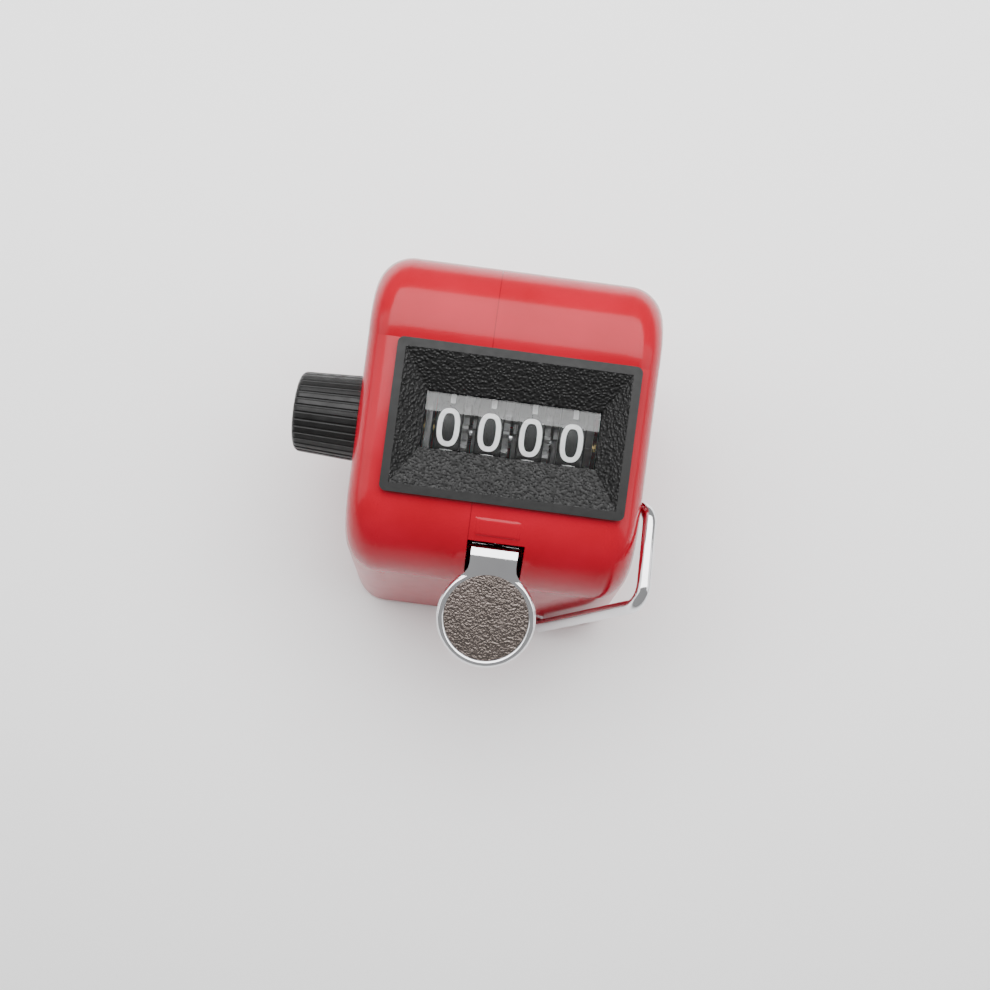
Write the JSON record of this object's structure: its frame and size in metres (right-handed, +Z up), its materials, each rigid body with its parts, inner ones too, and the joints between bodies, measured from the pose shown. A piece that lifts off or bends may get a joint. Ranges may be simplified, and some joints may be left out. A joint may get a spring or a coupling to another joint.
{
  "type": "hand tally counter",
  "caption": "Hand tally counter: two-shell case, bezelled window over number wheels, thumb lever, ribbed reset knob and wire finger ring.",
  "frame": {"origin": "middle of the case's flat base", "axes": "+X towards the units wheel and away from the knob, -Y towards the thumb lever, +Z up, through the window"},
  "size_m": [0.0544, 0.0579, 0.0427],
  "materials": {
    "red_case": "gloss",
    "black_bezel": "leather grain",
    "clear_lens": "clear",
    "black_wheel": "satin",
    "grey_gear": "satin",
    "black_knob": "satin",
    "chrome": "polished",
    "steel": "brushed",
    "brass": "turned"
  },
  "bodies": {
    "case": {"left_shell": "red_case", "right_shell": "red_case", "window_bezel": "black_bezel", "window_lens": "clear_lens", "shaft_bush": "brass", "left_spacer": "brass", "right_spacer": "brass", "pinion_shaft": "steel", "lever_pivot_pin": "steel", "left_plate": "steel", "right_plate": "steel", "frame_posts": "steel", "case_screws": "steel", "frame_screws": "steel", "return_spring": "steel", "detent_spring": "steel"},
    "units": {"units_wheel": "black_wheel", "ratchet_wheel": "grey_gear"},
    "tens": {"tens_wheel": "black_wheel"},
    "hundreds": {"hundreds_wheel": "black_wheel"},
    "thousands": {"thousands_wheel": "black_wheel"},
    "tens_transfer": {"tens_pinion": "grey_gear"},
    "hundreds_transfer": {"hundreds_pinion": "grey_gear"},
    "thousands_transfer": {"thousands_pinion": "grey_gear"},
    "reset": {"wheel_shaft": "steel", "reset_knob": "black_knob"},
    "lever": {"thumb_lever": "chrome", "pawl_pin": "steel", "pawl_spring": "steel"},
    "pawl": {"drive_pawl": "steel"},
    "ring": {"finger_ring": "chrome"}
  },
  "joints": [
    {"name": "units_spin", "type": "hinge", "parent": "case", "child": "units", "pos_m": [0, -0.00015, 0.0249], "axis": [1, 0, 0], "continuous": true},
    {"name": "tens_spin", "type": "hinge", "parent": "case", "child": "tens", "pos_m": [0, -0.00015, 0.0249], "axis": [1, 0, 0], "continuous": true},
    {"name": "hundreds_spin", "type": "hinge", "parent": "case", "child": "hundreds", "pos_m": [0, -0.00015, 0.0249], "axis": [1, 0, 0], "continuous": true},
    {"name": "thousands_spin", "type": "hinge", "parent": "case", "child": "thousands", "pos_m": [0, -0.00015, 0.0249], "axis": [1, 0, 0], "continuous": true},
    {"name": "tens_pinion_spin", "type": "hinge", "parent": "case", "child": "tens_transfer", "pos_m": [0, 0.00843, 0.0177], "axis": [1, 0, 0], "continuous": true},
    {"name": "hundreds_pinion_spin", "type": "hinge", "parent": "case", "child": "hundreds_transfer", "pos_m": [0, 0.00843, 0.0177], "axis": [1, 0, 0], "continuous": true},
    {"name": "thousands_pinion_spin", "type": "hinge", "parent": "case", "child": "thousands_transfer", "pos_m": [0, 0.00843, 0.0177], "axis": [1, 0, 0], "continuous": true},
    {"name": "knob_turn", "type": "hinge", "parent": "case", "child": "reset", "pos_m": [0, -0.00015, 0.0249], "axis": [1, 0, 0], "continuous": true},
    {"name": "lever_press", "type": "hinge", "parent": "case", "child": "lever", "pos_m": [0, 0.0125, 0.031], "axis": [1, 0, 0], "range_deg": [0, 8], "stiffness_Nm_per_rad": 0.4, "springref_deg": -17.19, "deforming": ["return_spring"]},
    {"name": "pawl_swing", "type": "hinge", "parent": "lever", "child": "pawl", "pos_m": [0, -0.01583, 0.0252], "axis": [1, 0, 0], "range_deg": [0, 10], "stiffness_Nm_per_rad": 0.002, "springref_deg": -17.19, "deforming": ["pawl_spring"]},
    {"name": "ring_swing", "type": "hinge", "parent": "case", "child": "ring", "pos_m": [0.0096, 0, 0.0024], "axis": [0, 1, 0], "range_deg": [0, 66]}
  ],
  "couplings": [
    {"joint": "tens_spin", "follows": "units_spin", "ratio": 0.1},
    {"joint": "hundreds_spin", "follows": "units_spin", "ratio": 0.01},
    {"joint": "thousands_spin", "follows": "units_spin", "ratio": 0.001},
    {"joint": "tens_pinion_spin", "follows": "units_spin", "ratio": -0.25},
    {"joint": "hundreds_pinion_spin", "follows": "units_spin", "ratio": -0.025},
    {"joint": "thousands_pinion_spin", "follows": "units_spin", "ratio": -0.0025}
  ]
}
